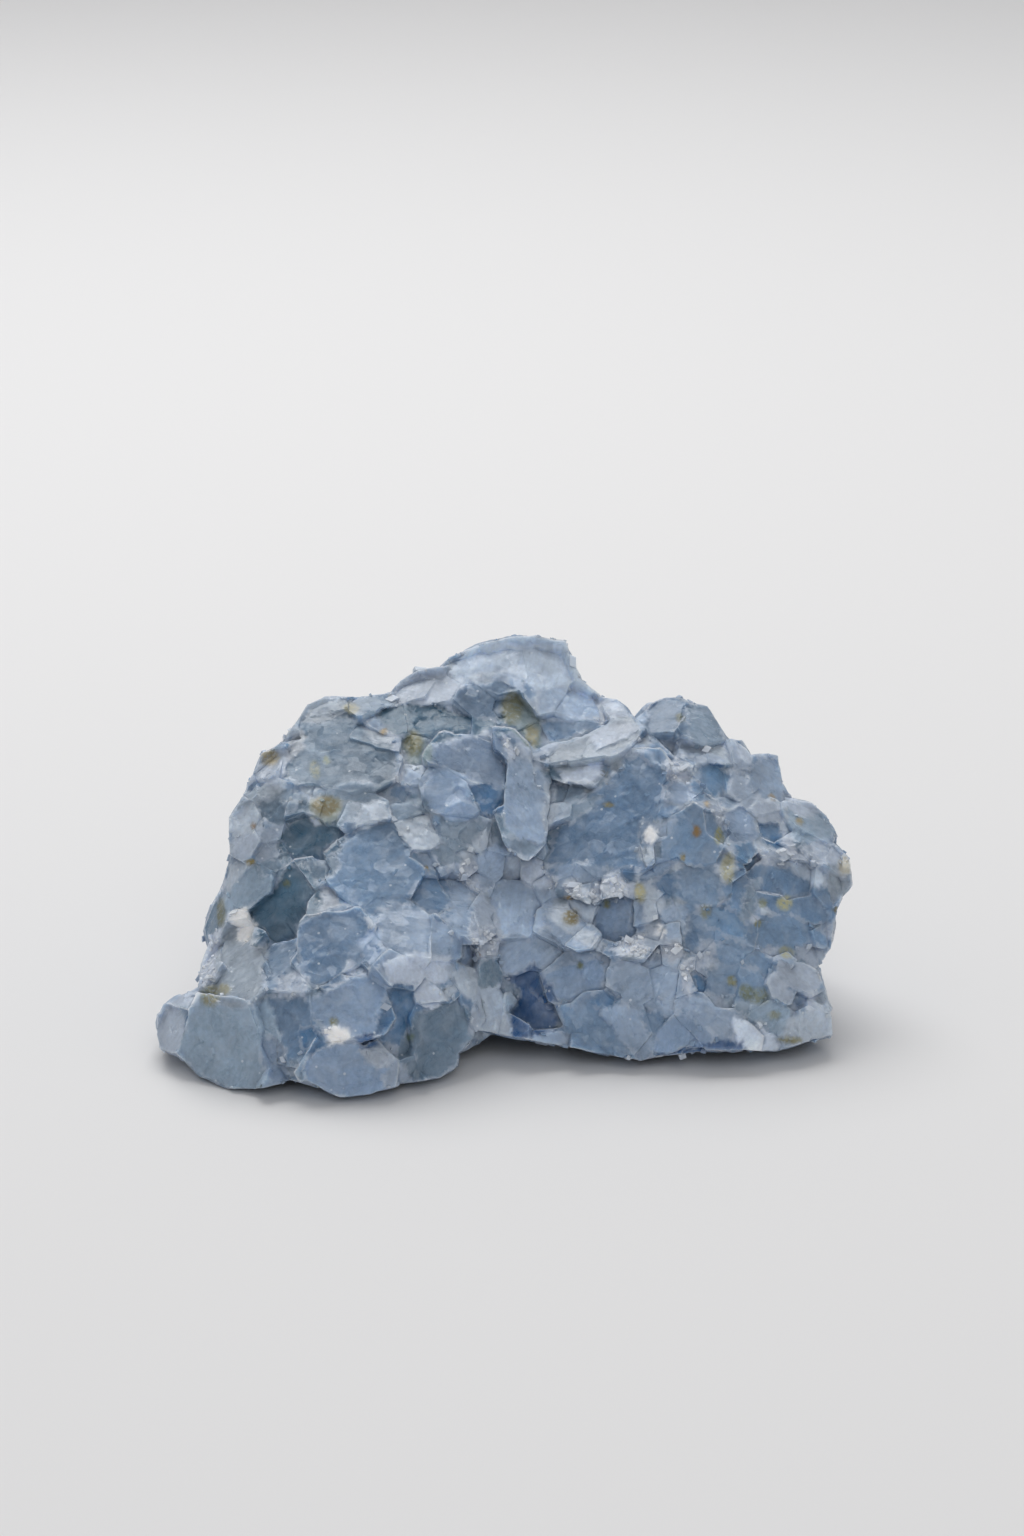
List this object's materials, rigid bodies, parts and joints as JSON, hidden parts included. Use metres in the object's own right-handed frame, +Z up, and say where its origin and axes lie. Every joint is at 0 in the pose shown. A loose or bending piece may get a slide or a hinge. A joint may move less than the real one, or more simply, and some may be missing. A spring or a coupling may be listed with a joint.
{
  "type": "rough blue calcite",
  "caption": "Rough lump of blocky blue calcite crystals grown together, milky blue with white frosted edges, standing on its flat underside.",
  "frame": {"origin": "middle of the box's footprint, at the level the stone stands on", "axes": "+X to the right seen from the front, the long way; +Y away from the front towards the back; +Z up"},
  "size_m": [0.0696, 0.05, 0.0359],
  "materials": {
    "blue_calcite": "milky translucent crystal, satin on the cleavage faces and frosted white along broken edges"
  },
  "bodies": {
    "root": {"calcite_stone": "blue_calcite"}
  },
  "joints": []
}
